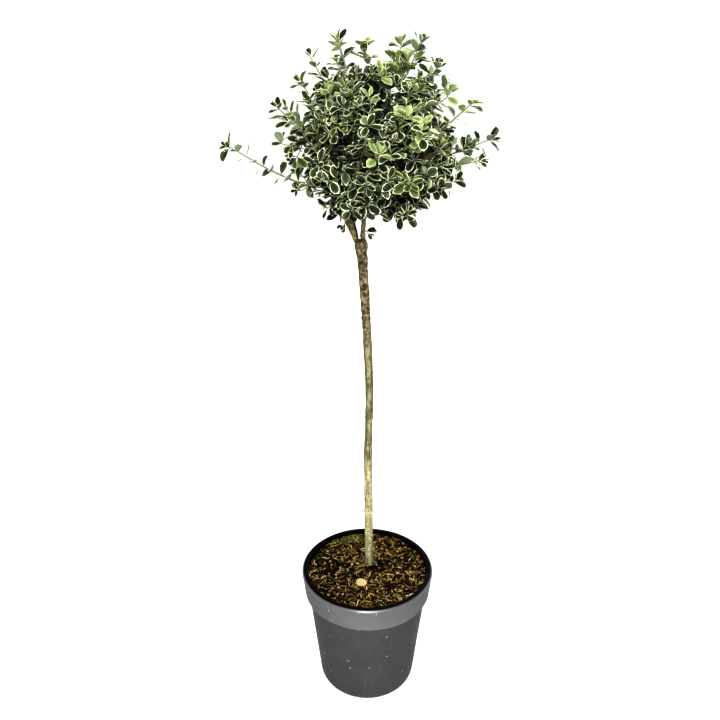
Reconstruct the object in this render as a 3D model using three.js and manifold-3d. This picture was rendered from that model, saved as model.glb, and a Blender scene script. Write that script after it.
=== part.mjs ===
// A young euonymus grafted as a standard, in its plastic nursery pot: a slim bare trunk with a knobby
// graft head, five short boughs and a loose round crown, whose foliage is in uneven masses and shoots.
// Millimetres, +Z up, the front of the plant towards -Y. The origin is the centre of the pot's flat
// underside. Azimuths are in degrees, counter-clockwise from +X when seen from above.

import * as THREE from 'three';
import { mergeVertices } from 'three/addons/utils/BufferGeometryUtils.js';
import Module from 'manifold-3d';

// ---- Driving dimensions ----

const GAP = 0.3;              // clearance between solids that touch

const POT_HEIGHT = 196;
const RIM_RADIUS = 95;        // outside of the rim
const LIP_WIDTH = 6;          // flat top of the rim
const LIP_DEPTH = 3;          // thickness of that flat lip
const BAND_HEIGHT = 37.6;     // the collar below the rim
const BAND_FOOT_RADIUS = 91.1;
const SHOULDER_RADIUS = 85.7; // the body, just under the collar
const BASE_RADIUS = 68.9;     // where the body's slope would meet the ground
const BASE_EDGE = 18;         // rounding between the body and the underside
const POT_WALL = 3;
const POT_SIDES = 32;

const SOIL_LEVEL = 185;       // level patch that the trunk stands on
const SOIL_RELIEF = 1.6;      // how far the compost rises and falls elsewhere

const TRUNK_FOOT = [3, 21];   // X and Y where the trunk leaves the compost
const TRUNK_TOP = 692;        // height of the graft head
const TRUNK_SIDES = 10;
const TRUNK_STEPS = 25;

const FORK_HEIGHT = 684;      // inside the graft head, where the boughs begin

const CROWN_CENTRE = new THREE.Vector3(6, 6, 806);

// ---- Colours ----

const finish = (color, roughness) => new THREE.MeshStandardMaterial({ color, roughness, metalness: 0 });
const POT_PLASTIC = finish('#55565a', 0.5);
const COMPOST = finish('#3a2a1c', 1);
const TRUNK_BARK = finish('#8b8468', 0.85);
const BOUGH_BARK = finish('#7d6a4c', 0.85);
const LEAF_LOW = finish('#3f5536', 0.6);
const LEAF_HIGH = finish('#66794f', 0.6);
const LEAF_SHOOT = finish('#93a273', 0.6);

// ---- Solids: joining and cutting closed meshes ----

const wasm = await Module();
wasm.setup();

function toSolid(geometry) {
  const bare = geometry.clone();
  bare.deleteAttribute('normal');
  bare.deleteAttribute('uv');
  const merged = mergeVertices(bare, 1e-4);
  const vertProperties = new Float32Array(merged.attributes.position.array);
  const triVerts = new Uint32Array(merged.index.array);
  return new wasm.Manifold(new wasm.Mesh({ numProp: 3, vertProperties, triVerts }));
}

function toGeometry(solid) {
  const mesh = solid.getMesh();
  const geometry = new THREE.BufferGeometry();
  geometry.setAttribute('position', new THREE.BufferAttribute(mesh.vertProperties, 3));
  geometry.setIndex(new THREE.BufferAttribute(mesh.triVerts, 1));
  geometry.computeVertexNormals();
  return geometry;
}

// The largest body that is left after a cut.
function largestBody(solid) {
  return solid.decompose().sort((a, b) => b.volume() - a.volume())[0];
}

const plant = new THREE.Group();

function addMesh(name, geometry, material) {
  const mesh = new THREE.Mesh(geometry, material);
  mesh.name = name;
  plant.add(mesh);
}

// ---- Shapes ----

const DEGREE = Math.PI / 180;

// The direction with that azimuth and climb above the level.
const towards = (azimuth, climb) => new THREE.Vector3(
  Math.cos(climb * DEGREE) * Math.cos(azimuth * DEGREE),
  Math.cos(climb * DEGREE) * Math.sin(azimuth * DEGREE),
  Math.sin(climb * DEGREE),
);

// Smooth unevenness between -1 and 1, from three crossed waves that depend on a seed.
function unevenness(x, y, z, seed) {
  const waves = Math.sin(2.3 * x + 1.7 * seed) + Math.sin(2.9 * y + 2.3 * seed) + Math.sin(2.6 * z + 3.1 * seed);
  return waves / 3;
}

// A limb along a curve: round rings of the girth that radiusAt gives, closed at both ends. Level rings
// stay horizontal, which leaves a flat cut under a trunk; the others stand square to the curve.
function limb(curve, radiusAt, { steps, sides, level = false }) {
  const geometry = new THREE.CylinderGeometry(1, 1, 1, sides, steps);
  const places = geometry.attributes.position;
  const up = new THREE.Vector3(0, 0, 1);
  for (let i = 0; i < places.count; i += 1) {
    const along = places.getY(i) + 0.5;
    const around = Math.atan2(places.getZ(i), places.getX(i));
    const ahead = level ? up : curve.getTangent(along);
    const turn = new THREE.Quaternion().setFromUnitVectors(up, ahead);
    const radius = radiusAt(along, around);
    const spoke = new THREE.Vector3(places.getX(i) * radius, -places.getZ(i) * radius, 0);
    const place = spoke.applyQuaternion(turn).add(curve.getPoint(along));
    places.setXYZ(i, place.x, place.y, place.z);
  }
  return geometry;
}

// An uneven rounded mass about a centre, with half-widths across, deep and tall.
function lobe(centre, halves, seed) {
  const geometry = new THREE.IcosahedronGeometry(1, LOBE_DETAIL);
  const places = geometry.attributes.position;
  for (let i = 0; i < places.count; i += 1) {
    const [x, y, z] = [places.getX(i), places.getY(i), places.getZ(i)];
    const swell = 1 + 0.13 * unevenness(x, y, z, seed);
    places.setXYZ(i, centre.x + halves[0] * swell * x, centre.y + halves[1] * swell * y,
      centre.z + halves[2] * swell * z);
  }
  return geometry;
}

// ---- Pot: a moulded cup with a collar, a flat lip and a rounded foot ----

const SLOPE = (SHOULDER_RADIUS - BASE_RADIUS) / (POT_HEIGHT - BAND_HEIGHT);

// Outline of the foot from the axis to the top of its rounding, set in from the outside by a depth.
function footOutline(inset) {
  const lean = Math.atan(SLOPE);
  const edge = BASE_EDGE - inset;
  const centreX = BASE_RADIUS + SLOPE * BASE_EDGE - BASE_EDGE / Math.cos(lean);
  const steps = 3;
  const outline = [new THREE.Vector2(0, inset)];
  for (let i = 0; i <= steps; i += 1) {
    const angle = -Math.PI / 2 + (Math.PI / 2 - lean) * (i / steps);
    outline.push(new THREE.Vector2(centreX + edge * Math.cos(angle), BASE_EDGE + edge * Math.sin(angle)));
  }
  return outline;
}

const bandFoot = POT_HEIGHT - BAND_HEIGHT;
const outside = [
  ...footOutline(0),
  new THREE.Vector2(SHOULDER_RADIUS, bandFoot),
  new THREE.Vector2(BAND_FOOT_RADIUS, bandFoot),
  new THREE.Vector2(RIM_RADIUS, POT_HEIGHT - LIP_DEPTH / 2),
  new THREE.Vector2(RIM_RADIUS - LIP_DEPTH / 2, POT_HEIGHT),
];
const inside = [
  ...footOutline(POT_WALL),
  new THREE.Vector2(SHOULDER_RADIUS - POT_WALL, bandFoot - POT_WALL),
  new THREE.Vector2(BAND_FOOT_RADIUS - POT_WALL, bandFoot + POT_WALL),
  new THREE.Vector2(RIM_RADIUS - POT_WALL - 0.4, POT_HEIGHT - 2 * LIP_DEPTH),
  new THREE.Vector2(RIM_RADIUS - LIP_WIDTH, POT_HEIGHT - LIP_DEPTH),
];
const potProfile = [...outside, new THREE.Vector2(RIM_RADIUS - LIP_WIDTH, POT_HEIGHT), ...inside.reverse()];

// A lathe turns about Y, so the turned shapes are stood up on Z.
const turned = (profile) => new THREE.LatheGeometry(profile, POT_SIDES).rotateX(Math.PI / 2);

addMesh('pot', turned(potProfile), POT_PLASTIC);

// ---- Compost: fills the pot to a little under its rim ----

const soilSlope = (RIM_RADIUS - BAND_FOOT_RADIUS) / BAND_HEIGHT;
const soilEdge = BAND_FOOT_RADIUS - POT_WALL - GAP + soilSlope * (SOIL_LEVEL - bandFoot) - 1;
const soilFoot = footOutline(POT_WALL + GAP);
const SOIL_RINGS = 5;
const soilProfile = [
  ...soilFoot,
  new THREE.Vector2(SHOULDER_RADIUS - POT_WALL - 2 * GAP, bandFoot - POT_WALL - GAP),
  new THREE.Vector2(BAND_FOOT_RADIUS - POT_WALL - 1, bandFoot + POT_WALL + 2 * GAP),
  new THREE.Vector2(soilEdge, SOIL_LEVEL - SOIL_RELIEF),
];
for (let ring = SOIL_RINGS - 1; ring >= 0; ring -= 1) {
  soilProfile.push(new THREE.Vector2((soilEdge * ring) / SOIL_RINGS, SOIL_LEVEL));
}
const soil = turned(soilProfile);
const soilPlaces = soil.attributes.position;
for (let i = 0; i < soilPlaces.count; i += 1) {
  const [x, y, z] = [soilPlaces.getX(i), soilPlaces.getY(i), soilPlaces.getZ(i)];
  const fromTrunk = Math.hypot(x - TRUNK_FOOT[0], y - TRUNK_FOOT[1]);
  if (z === SOIL_LEVEL && fromTrunk > 25) {
    soilPlaces.setZ(i, z + SOIL_RELIEF * unevenness(x / 20, y / 20, 0, 4));
  }
}
addMesh('soil', soil, COMPOST);

// ---- Trunk: slightly leaning, with a flared foot, old bud swellings and a knobby graft head ----

const trunkFootZ = SOIL_LEVEL + GAP;
const trunkLine = new THREE.CatmullRomCurve3([
  new THREE.Vector3(TRUNK_FOOT[0], TRUNK_FOOT[1], trunkFootZ),
  new THREE.Vector3(1.5, 19, 290),
  new THREE.Vector3(0.5, 17, 390),
  new THREE.Vector3(2, 15, 470),
  new THREE.Vector3(-2, 14, 570),
  new THREE.Vector3(-7.5, 13, 655),
  new THREE.Vector3(-11, 12, TRUNK_TOP),
]);

// Girth up the trunk: height in millimetres and radius there.
const TRUNK_GIRTHS = [
  [trunkFootZ, 8.2], [194, 6.4], [215, 5.8], [330, 5.9], [369, 6.3], [405, 5.4], [440, 5.0], [480, 5.5],
  [560, 5.7], [640, 6.0], [662, 6.7], [676, 7.7], [686, 8.1], [TRUNK_TOP, 7.0],
];

function trunkRadius(height) {
  const upper = Math.max(1, TRUNK_GIRTHS.findIndex(([level]) => level >= height - 1e-6));
  const [lowZ, lowR] = TRUNK_GIRTHS[upper - 1];
  const [highZ, highR] = TRUNK_GIRTHS[upper];
  const blend = (height - lowZ) / (highZ - lowZ);
  return THREE.MathUtils.lerp(lowR, highR, THREE.MathUtils.clamp(blend, 0, 1));
}

const trunkRadiusAlong = (along) => trunkRadius(trunkLine.getPoint(along).z);
const trunkShape = limb(trunkLine, trunkRadiusAlong, { steps: TRUNK_STEPS, sides: TRUNK_SIDES, level: true });
addMesh('trunk', trunkShape, TRUNK_BARK);
const trunkClearance = toSolid(limb(trunkLine, (along) => trunkRadiusAlong(along) + GAP,
  { steps: TRUNK_STEPS, sides: TRUNK_SIDES, level: true })).translate([0, 0, GAP]);

// ---- Masses of foliage: a heart, a top, and three rings of uneven lobes round them ----
// Each ring has how many lobes it holds, the azimuth of the first, how far they stand out from the crown's
// middle, their height above the base of the pot, and their half-widths across, deep and tall.

const LOBE_RINGS = [
  { name: 'mass_low', count: 5, first: 250, out: 38, height: 757, halves: [40, 40, 36] },
  { name: 'mass_middle', count: 6, first: 270, out: 60, height: 800, halves: [41, 41, 34] },
  { name: 'mass_high', count: 5, first: 235, out: 44, height: 847, halves: [37, 37, 36] },
];
const LOBE_DETAIL = 2;
const LOBE_STRAY = 5;         // how far a lobe strays from its even place in the ring

const lobes = [
  { name: 'mass_heart', centre: CROWN_CENTRE, halves: [38, 38, 42] },
  { name: 'mass_top', centre: new THREE.Vector3(CROWN_CENTRE.x - 4, CROWN_CENTRE.y, 866), halves: [34, 34, 31] },
];
for (const ring of LOBE_RINGS) {
  for (let i = 0; i < ring.count; i += 1) {
    const stray = LOBE_STRAY * unevenness(i, ring.height, 2 * i, ring.count);
    const azimuth = ring.first + (360 * i) / ring.count;
    const centre = towards(azimuth, 0).multiplyScalar(ring.out + stray).add(CROWN_CENTRE);
    centre.z = ring.height + stray;
    lobes.push({ name: `${ring.name}_${i + 1}`, centre, halves: ring.halves });
  }
}

// The shape that other solids are cut back from is the whole lobe, grown by the gap.
lobes.forEach((each, i) => {
  each.solid = toSolid(lobe(each.centre, each.halves, i + 1));
  each.clearance = toSolid(lobe(each.centre, each.halves.map((half) => half + 1.5 * GAP), i + 1));
});

// Neighbours part at the flat between them, each kept half a gap back from it.
for (const [i, one] of lobes.entries()) {
  for (const other of lobes.slice(i + 1)) {
    const normal = other.centre.clone().sub(one.centre);
    const apart = normal.length();
    normal.divideScalar(apart);
    const share = (apart + (one.halves[0] ** 2 - other.halves[0] ** 2) / apart) / 2;
    const plane = one.centre.dot(normal) + share;
    one.solid = one.solid.trimByPlane(normal.clone().negate().toArray(), GAP / 2 - plane);
    other.solid = other.solid.trimByPlane(normal.toArray(), plane + GAP / 2);
  }
}

// ---- Boughs: five tapering limbs from the graft head up into the low masses ----
// Each has where it leaves the head, its end in a mass, a sideways bow, and its radius at both ends.

const BOUGHS = [
  { name: 'bough_left', start: [-14, 10], end: [-28, 6, 728], bow: [-1, 0, 2], foot: 3.6, tip: 3.0 },
  { name: 'bough_left_outer', start: [-15, 14], end: [-37, 12, 730], bow: [-1, 0, 2], foot: 2.4, tip: 1.8 },
  { name: 'bough_right', start: [-7, 10], end: [-7, 6, 730], bow: [0.5, 0, 0], foot: 3.0, tip: 2.5 },
  { name: 'bough_back_left', start: [-13, 15], end: [-27, 42, 732], bow: [-1, 3, 2], foot: 3.0, tip: 2.2 },
  { name: 'bough_back_right', start: [-8, 15], end: [-3, 44, 734], bow: [0, 3, 1], foot: 3.2, tip: 2.2 },
];

function boughSolid({ start, end, bow, foot, tip }, extra) {
  const from = new THREE.Vector3(...start, FORK_HEIGHT);
  const to = new THREE.Vector3(...end);
  const middle = from.clone().lerp(to, 0.5).add(new THREE.Vector3(...bow));
  const radiusAt = (along) => THREE.MathUtils.lerp(foot, tip, along) + extra;
  return toSolid(limb(new THREE.CatmullRomCurve3([from, middle, to]), radiusAt, { steps: 4, sides: 7 }));
}

let limbClearance = trunkClearance;
for (const bough of BOUGHS) {
  bough.solid = boughSolid(bough, 0).subtract(limbClearance);
  limbClearance = limbClearance.add(boughSolid(bough, GAP));
}
for (const bough of BOUGHS) {
  const outsideMasses = lobes.reduce((left, { clearance }) => left.subtract(clearance), bough.solid);
  addMesh(bough.name, toGeometry(largestBody(outsideMasses)), BOUGH_BARK);
}

for (const { name, solid } of lobes) {
  addMesh(name, toGeometry(largestBody(solid)), name.startsWith('mass_low') ? LEAF_LOW : LEAF_HIGH);
}

// ---- Shoots: the slender masses that stand out of the crown, each a leafy stem with its tip ----
// Each has its place, its tip's azimuth, climb and reach from the middle of the crown, and how far below
// the straight line to its tip it starts, because shoots turn upwards.

const SHOOTS = [
  ['left_long', 182, 1, 176, 54], ['left_low', 184, -29, 112, 10], ['left', 188, 22, 125, 24],
  ['left_middle', 184, 2, 112, 12],
  ['left_high', 177, 39, 114, 20], ['top_left_side', 181, 53, 124, 16], ['top_left', 175, 70, 126, 8],
  ['top', 124, 78, 110, 5], ['top_arch', 24, 73, 118, 6], ['top_right', 353, 66, 127, 9],
  ['right_high', 336, 50, 121, 18], ['right_upper', 2, 23, 126, 30], ['right', 356, 4, 142, 26],
  ['right_lower', 351, -6, 131, 22], ['right_low', 345, -21, 110, 14],
  ['front_high', 265, 40, 104, 22], ['front_left', 221, 32, 118, 26], ['front_right', 300, 20, 116, 26],
  ['front_low_left', 238, -12, 112, 18], ['front_low_right', 292, -14, 110, 16],
  ['back_right', 35, 28, 124, 26], ['back_right_side', 60, 4, 130, 34], ['back_right_high', 66, 50, 120, 14],
  ['back', 92, 24, 130, 28], ['back_side', 115, -4, 126, 26], ['back_left_high', 124, 46, 120, 16],
  ['back_left', 148, 14, 132, 30], ['back_low', 88, -27, 110, 12], ['back_left_low', 150, -20, 114, 16],
  ['back_right_low', 28, -16, 118, 18],
];
const SHOOT_START = 0.42;     // where a shoot leaves the straight line from the middle to its tip
const SHOOT_SAG = 0.1;        // and its middle, as a share of that
const SHOOT_GIRTH = 14;       // half-width over its leaves
const SHOOT_SIDES = 6;
const SHOOT_STEPS = 4;

function shootSolid([, azimuth, climb, reach, droop], seed, extra) {
  const tip = towards(azimuth, climb).multiplyScalar(reach).add(CROWN_CENTRE);
  const start = CROWN_CENTRE.clone().lerp(tip, SHOOT_START);
  start.z -= droop;
  const middle = start.clone().lerp(tip, 0.5);
  middle.z -= SHOOT_SAG * droop;
  const radiusAt = (along, around) => {
    const spindle = Math.sqrt(Math.sin(Math.PI * (0.15 + 0.78 * along)));
    return SHOOT_GIRTH * spindle * (1 + 0.2 * unevenness(5 * along, around, around / 2, seed)) + extra;
  };
  const line = new THREE.CatmullRomCurve3([start, middle, tip]);
  return toSolid(limb(line, radiusAt, { steps: SHOOT_STEPS, sides: SHOOT_SIDES }));
}

let leafClearance = lobes.reduce((all, { clearance }) => all.add(clearance), limbClearance);
SHOOTS.forEach((shoot, i) => {
  const solid = largestBody(shootSolid(shoot, i, 0).subtract(leafClearance));
  leafClearance = leafClearance.add(shootSolid(shoot, i, GAP));
  addMesh(`shoot_${shoot[0]}`, toGeometry(solid), LEAF_SHOOT);
});

export default plant;
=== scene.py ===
# A young variegated euonymus grafted as a standard, in a plastic nursery pot. Metres, +Z up, the front
# of the plant towards -Y. Sizes given in millimetres are turned to metres by MM.

import math

import bpy
import numpy as np
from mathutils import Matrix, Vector
from mathutils.bvhtree import BVHTree
from numpy.linalg import norm


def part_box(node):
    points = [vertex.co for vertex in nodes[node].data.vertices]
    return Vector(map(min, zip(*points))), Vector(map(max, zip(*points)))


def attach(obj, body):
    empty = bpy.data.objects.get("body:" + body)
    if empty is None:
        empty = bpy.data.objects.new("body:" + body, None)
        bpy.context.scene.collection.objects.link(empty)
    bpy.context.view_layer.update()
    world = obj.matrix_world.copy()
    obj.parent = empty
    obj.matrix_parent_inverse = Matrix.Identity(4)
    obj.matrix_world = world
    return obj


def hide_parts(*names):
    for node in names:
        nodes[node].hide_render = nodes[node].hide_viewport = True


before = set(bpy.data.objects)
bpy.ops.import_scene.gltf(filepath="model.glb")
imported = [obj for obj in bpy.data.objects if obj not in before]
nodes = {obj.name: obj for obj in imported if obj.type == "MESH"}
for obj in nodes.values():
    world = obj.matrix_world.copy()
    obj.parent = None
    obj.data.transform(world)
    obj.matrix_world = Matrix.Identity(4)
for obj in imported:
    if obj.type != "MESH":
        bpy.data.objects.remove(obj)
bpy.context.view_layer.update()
scene = bpy.context.scene
MM = 0.001

# ----------------------------------------
# Camera. A standard lens a metre in front, a little above the crown's top and looking down at the plant.
CAMERA_PLACE = (-0.0107, -1.0, 0.998)
CAMERA_PITCH = 25.1
CAMERA_LENS = 42.62
SENSOR_WIDTH = 36
camera = bpy.data.objects.new("camera", bpy.data.cameras.new("camera"))
camera.location = CAMERA_PLACE
camera.rotation_euler = (math.radians(90 - CAMERA_PITCH), 0, 0)
camera.data.lens = CAMERA_LENS
camera.data.sensor_width = SENSOR_WIDTH
scene.collection.objects.link(camera)
scene.camera = camera

# ----------------------------------------
# Nursery pot. Polypropylene, injection moulded in one go: a tapering cup with a deep collar, a rolled
# lip, a rounded foot and drain slots round the underside. Dark grey, satin, scuffed and a bit dusty.
pot_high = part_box("pot")[1]
POT_HEIGHT = pot_high.z
RIM_RADIUS = pot_high.x
COLLAR_HEIGHT = 37.6 * MM
COLLAR_FOOT = POT_HEIGHT - COLLAR_HEIGHT
COLLAR_TAPER = 3.9 * MM
COLLAR_STEP = 5.4 * MM
FOOT_RADIUS = 68.9 * MM
FOOT_EDGE = 18 * MM
WALL = 1.6 * MM
LIP_WIDTH = 8.5 * MM
LIP_DEPTH = 3 * MM
LIP_ROUND = 3.4 * MM
BEAD = 1.2 * MM
BASE_RECESS = 1.5 * MM
BASE_TOP = 3 * MM
SLOT_COUNT = 8
SLOT_QUADS = 5
SLOT_INNER = 34 * MM
SLOT_OUTER = 44 * MM
POT_SEGMENTS = 160
NOISE_CELLS = 32
NOISE_SHIFT = 97.3


def lumps(points, size, seed):
    """Smooth noise from -1 to 1 at points in metres, with lumps of that size in millimetres."""
    table = np.random.default_rng(seed).uniform(-1, 1, (NOISE_CELLS,) * 3)
    scaled = np.asarray(points) / (size * MM) + NOISE_SHIFT
    cell = np.floor(scaled).astype(int)
    part = scaled - cell
    part = part * part * (3 - 2 * part)
    total = np.zeros(len(scaled))
    for corner in range(8):
        offset = np.array([corner & 1, corner >> 1 & 1, corner >> 2 & 1])
        weight = np.prod(np.where(offset == 1, part, 1 - part), axis=1)
        x, y, z = ((cell + offset) % NOISE_CELLS).T
        total += weight * table[x, y, z]
    return total


class Pile:
    """Many shapes joined into one mesh. Faces are index arrays of one row each, with a material slot."""

    def __init__(self):
        self.points, self.faces, self.slots, self.count = [], [], [], 0

    def add(self, points, *face_groups, slot=0):
        for faces in face_groups:
            faces = np.asarray(faces)
            self.faces.append(faces + self.count)
            self.slots.append(np.broadcast_to(slot, len(faces)))
        self.points.append(np.asarray(points))
        self.count += len(points)

    def make(self, name, materials, sharp=40):
        mesh = bpy.data.meshes.new(name)
        loops = np.concatenate([faces.ravel() for faces in self.faces])
        sizes = np.concatenate([np.full(len(faces), faces.shape[1]) for faces in self.faces])
        mesh.vertices.add(self.count)
        mesh.vertices.foreach_set("co", np.concatenate(self.points).ravel())
        mesh.loops.add(len(loops))
        mesh.loops.foreach_set("vertex_index", loops)
        mesh.polygons.add(len(sizes))
        mesh.polygons.foreach_set("loop_start", np.concatenate([[0], np.cumsum(sizes)[:-1]]))
        mesh.polygons.foreach_set("material_index", np.concatenate(self.slots).astype(int))
        for material in materials:
            mesh.materials.append(material)
        mesh.update(calc_edges=True)
        mesh.validate()
        mesh.shade_smooth()
        mesh.set_sharp_from_angle(angle=math.radians(sharp))
        piece = bpy.data.objects.new(name, mesh)
        scene.collection.objects.link(piece)
        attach(piece, "root")
        return piece


def lattice(rows, columns, closed):
    """Quads of a grid with that many rows of points, each row closed on itself or open."""
    spans = columns if closed else columns - 1
    row, column = np.meshgrid(np.arange(rows - 1), np.arange(spans), indexing="ij")
    start = (row * columns + column).ravel()
    beside = (row * columns + (column + 1) % columns).ravel()
    return np.stack([start, beside, beside + columns, start + columns], axis=1)


def arc(centre, radius, first, last, steps):
    """Points of an arc in the plane of radius and height, between two angles in degrees."""
    angles = np.radians(np.linspace(first, last, steps))
    return [(centre[0] + radius * math.cos(a), centre[1] + radius * math.sin(a)) for a in angles]


def between(start, end, shares):
    """Points on a straight line, at those shares of its length."""
    return [(start[0] + t * (end[0] - start[0]), start[1] + t * (end[1] - start[1])) for t in shares]


collar_foot_radius = RIM_RADIUS - COLLAR_TAPER
shoulder = collar_foot_radius - COLLAR_STEP
lean = math.atan2(shoulder - FOOT_RADIUS, COLLAR_FOOT)
edge_centre = FOOT_RADIUS + FOOT_EDGE * math.tan(lean) - FOOT_EDGE / math.cos(lean)
wall_angle = -math.degrees(lean)
pole = 0.0005 * MM
# Up the outside: the raised middle of the underside, the rounded foot, the wall, the collar and its lip.
outline = [(place, BASE_RECESS) for place in (pole, SLOT_INNER, SLOT_OUTER)] + [(SLOT_OUTER + 2 * MM, 0)]
outline += arc((edge_centre, FOOT_EDGE), FOOT_EDGE, -90, wall_angle, 10)
outline += between(outline[-1], (shoulder, COLLAR_FOOT), np.linspace(0, 1, 12)[1:-1])
outline += [(shoulder, COLLAR_FOOT - 0.8 * MM), (shoulder + 0.6 * MM, COLLAR_FOOT)]
outline += arc((collar_foot_radius - BEAD, COLLAR_FOOT + BEAD), BEAD, -90, 0, 4)
collar_top = (collar_foot_radius + 0.9 * COLLAR_TAPER, POT_HEIGHT - LIP_ROUND)
outline += between((collar_foot_radius, COLLAR_FOOT + BEAD), collar_top, np.linspace(0.12, 0.96, 7))
outline += arc((RIM_RADIUS - LIP_ROUND, POT_HEIGHT - LIP_ROUND), LIP_ROUND, 0, 90, 9)
# Down the inside: the lip's inner edge, the collar, the wall and the floor of the cup.
outline += arc((RIM_RADIUS - LIP_WIDTH + BEAD / 2, POT_HEIGHT - BEAD / 2), BEAD / 2, 90, 180, 4)
outline += [(RIM_RADIUS - LIP_WIDTH, POT_HEIGHT - LIP_DEPTH)]
outline += [(RIM_RADIUS - WALL - BEAD, POT_HEIGHT - 2 * LIP_DEPTH)]
outline += [(collar_foot_radius - WALL, COLLAR_FOOT + WALL), (shoulder - WALL, COLLAR_FOOT - WALL)]
outline += arc((edge_centre, FOOT_EDGE), FOOT_EDGE - WALL, wall_angle, -90, 6)
outline += [(SLOT_OUTER, BASE_TOP), (SLOT_INNER, BASE_TOP), (pole, BASE_TOP)]
outline = np.array(outline)

turn = np.linspace(0, math.tau, POT_SEGMENTS, endpoint=False)
pot_points = np.stack([np.outer(outline[:, 0], np.cos(turn)), np.outer(outline[:, 0], np.sin(turn)),
                       np.repeat(outline[:, 1:2], POT_SEGMENTS, axis=1)], axis=2).reshape(-1, 3)
from_axis = np.hypot(*pot_points[:, :2].T)
on_collar_edge = (abs(pot_points[:, 2] - COLLAR_FOOT) < 1.3 * BEAD) & (from_axis > shoulder)
pot_points[on_collar_edge, 2] += 0.45 * MM * lumps(pot_points[on_collar_edge], 9, 3)
radial = pot_points[:, :2] / np.maximum(from_axis, 1 * MM)[:, None]
pot_points[:, :2] += radial * (0.3 * MM * lumps(pot_points, 45, 5))[:, None]

# Each drain slot leaves a few quads out of the underside and of the cup's floor, with walls between them.
pot_quads = lattice(len(outline), POT_SEGMENTS, closed=True)
slot_pitch = POT_SEGMENTS // SLOT_COUNT
open_quads = np.flatnonzero(np.arange(POT_SEGMENTS) % slot_pitch < SLOT_QUADS)
inner_row = (len(outline) - 2) * POT_SEGMENTS
cut = np.concatenate([open_quads + POT_SEGMENTS, open_quads + inner_row - POT_SEGMENTS])
pot_quads = np.delete(pot_quads, cut, axis=0)
slot_walls = []
corners = np.arange(SLOT_QUADS + 1)
for first in range(0, POT_SEGMENTS, slot_pitch):
    below = first + POT_SEGMENTS + np.concatenate([corners, corners[::-1] + POT_SEGMENTS])
    above = first + inner_row + np.concatenate([corners, corners[::-1] - POT_SEGMENTS])
    slot_walls += np.stack([below, np.roll(below, -1), np.roll(above, -1), above], axis=1).tolist()


def ring_caps(rows, sides):
    """The two faces that close the first and the last of some rings of points."""
    last = (rows - 1) * sides
    return [list(range(sides))[::-1], list(range(last, last + sides))]


# The outside is worn grey up to the lip's outer curve, which is rubbed; the lip's top and the inside are
# painted shade, near black.
WORN, SHADED_BLACK, RUBBED = 0, 1, 2
RUBBED_FROM = 8
RUBBED_TO = 3
nursery_pot = Pile()
nursery_pot.add(pot_points, pot_quads, slot_walls, ring_caps(len(outline), POT_SEGMENTS))
rows_to_rim = 1 + np.argmax(outline[:, 1]) - pot_quads[:, 0] // POT_SEGMENTS
on_lip = (rows_to_rim <= RUBBED_FROM) & (rows_to_rim > RUBBED_TO)
nursery_pot.slots[0] = np.where(on_lip, RUBBED, np.where(rows_to_rim > RUBBED_TO, WORN, SHADED_BLACK))


def linear(code):
    """An sRGB hex colour as linear RGBA."""
    parts = [int(code[i:i + 2], 16) / 255 for i in (1, 3, 5)]
    return (*[c / 12.92 if c <= 0.04045 else ((c + 0.055) / 1.055) ** 2.4 for c in parts], 1)


def feed(tree, node, inputs):
    """Sets a node's inputs, each to a value or to a socket to link from."""
    for name, value in inputs.items():
        if isinstance(value, bpy.types.NodeSocket):
            tree.links.new(value, node.inputs[name])
        else:
            node.inputs[name].default_value = value


def add(tree, kind, inputs=None, stops=(), **settings):
    """Adds a shader node with its settings and inputs, and a ramp's stops of position and colour."""
    made = tree.nodes.new("ShaderNode" + kind)
    for name, value in settings.items():
        setattr(made, name, value)
    for index, (position, code) in enumerate(stops):
        if index > 1:
            made.color_ramp.elements.new(position)
        made.color_ramp.elements[index].position = position
        made.color_ramp.elements[index].color = linear(code)
    feed(tree, made, inputs or {})
    return made


def start_material(name, **values):
    """A material whose shader has those constant values, named as its sockets with _ for a space."""
    material = bpy.data.materials.new(name)
    material.use_nodes = True
    shader = material.node_tree.nodes["Principled BSDF"]
    feed(material.node_tree, shader, {name.replace("_", " "): value for name, value in values.items()})
    return material, material.node_tree, shader


def per_mm(size):
    """The scale that gives a pattern that size in millimetres, on coordinates in metres."""
    return 1 / (size * MM)


# Moulded polypropylene: satin, with broad uneven sheen, fine upright scuffs and specks of dust.
pot_plastic, tree, shader = start_material("moulded_polypropylene", IOR=1.49, Specular_IOR_Level=0.06)
place = add(tree, "TexCoord").outputs["Object"]
height = add(tree, "SeparateXYZ", {"Vector": place}).outputs["Z"]
# The collar is painted paler than the body below it: painted light, for the light that falls on the collar.
collar_mask = add(tree, "MapRange", {"Value": height, "From Min": COLLAR_FOOT - 0.4 * MM,
                                     "From Max": COLLAR_FOOT + 0.8 * MM}).outputs["Result"]
blotch = add(tree, "TexNoise", {"Vector": place, "Scale": per_mm(38), "Detail": 4.0,
                                "Roughness": 0.6}).outputs["Fac"]
upright = add(tree, "Mapping", {"Vector": place, "Scale": (1, 1, 0.09)}).outputs["Vector"]
scuff_noise = add(tree, "TexNoise", {"Vector": upright, "Scale": per_mm(2.6), "Detail": 3.0}).outputs["Fac"]
scuffs = add(tree, "MapRange", {"Value": scuff_noise, "From Min": 0.6, "From Max": 0.78}).outputs["Result"]
speck_distance = add(tree, "TexVoronoi", {"Vector": place, "Scale": per_mm(13)}).outputs["Distance"]
specks = add(tree, "MapRange", {"Value": speck_distance, "From Min": 0.06,
                                "From Max": 0.03}).outputs["Result"]
# The collar's paler grey, mottled by the blotches, is painted light.
collar_painted_light_colour = add(tree, "Mix", {"Factor": blotch, "A": linear("#3f3f3f"), "B": linear("#4f4f4f")},
                  data_type="RGBA").outputs["Result"]
scuffed = add(tree, "Math", {0: scuffs, 1: 0.13}, operation="MULTIPLY").outputs[0]
pot_colour = linear("#292929")
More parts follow.
